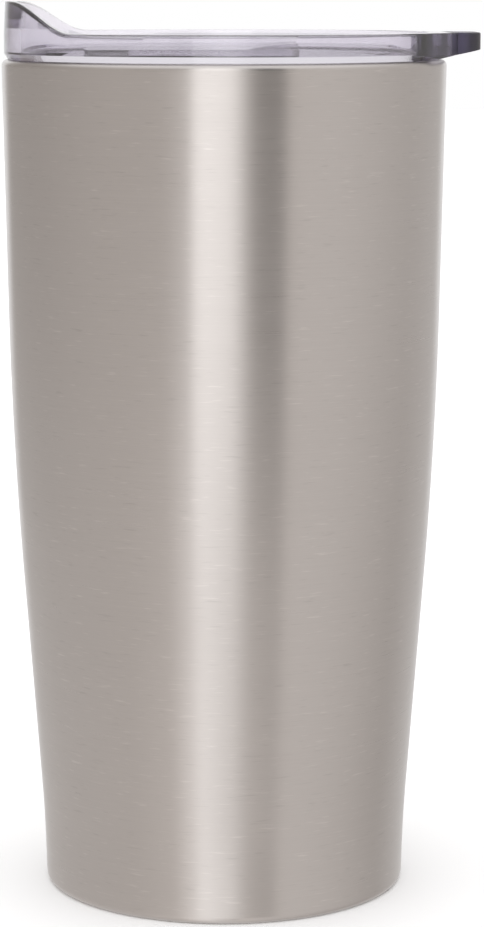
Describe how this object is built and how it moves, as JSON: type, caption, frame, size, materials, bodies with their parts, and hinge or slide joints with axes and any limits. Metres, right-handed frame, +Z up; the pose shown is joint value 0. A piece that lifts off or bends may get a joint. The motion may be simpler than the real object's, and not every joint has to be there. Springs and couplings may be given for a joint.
{
  "type": "insulated tumbler with lid",
  "caption": "Double-walled steel drinking tumbler with a gently curved taper and a clear push-in lid that has a drinking lip, a pull tab and a thumb slider.",
  "frame": {"origin": "centre of the ring that the tumbler stands on, on its axis", "axes": "+Z up along the tumbler's axis, -X towards the drinking lip, +X towards the pull tab"},
  "size_m": [0.0943, 0.088, 0.1779],
  "materials": {
    "shell_steel": "satin, brushed round the body",
    "liner_steel": "electropolished satin",
    "base_steel": "satin",
    "seal_glass": "dull",
    "getter_alloy": "matt",
    "lid_plastic": "clear, faintly violet grey, glossy",
    "silicone": "translucent, satin"
  },
  "bodies": {
    "tumbler": {"outer_shell": "shell_steel", "inner_liner": "liner_steel", "outer_base": "base_steel", "base_cover": "base_steel", "vacuum_seal": "seal_glass", "getter_clip": "base_steel", "getter_pellet": "getter_alloy"},
    "gasket": {"lid_gasket": "silicone"},
    "lid": {"lid_body": "lid_plastic"},
    "slider": {"slider": "lid_plastic", "slider_clip": "lid_plastic", "slider_pad": "silicone"}
  },
  "joints": [
    {"name": "lid_lift", "type": "slide", "parent": "tumbler", "child": "gasket", "axis": [0, 0, 1], "range_m": [0, 0.06]},
    {"name": "lid_turn", "type": "hinge", "parent": "gasket", "child": "lid", "pos_m": [0, 0, 0.16], "axis": [0, 0, 1], "continuous": true},
    {"name": "slider_travel", "type": "slide", "parent": "lid", "child": "slider", "axis": [-1, 0, 0], "range_m": [0, 0.012]}
  ]
}
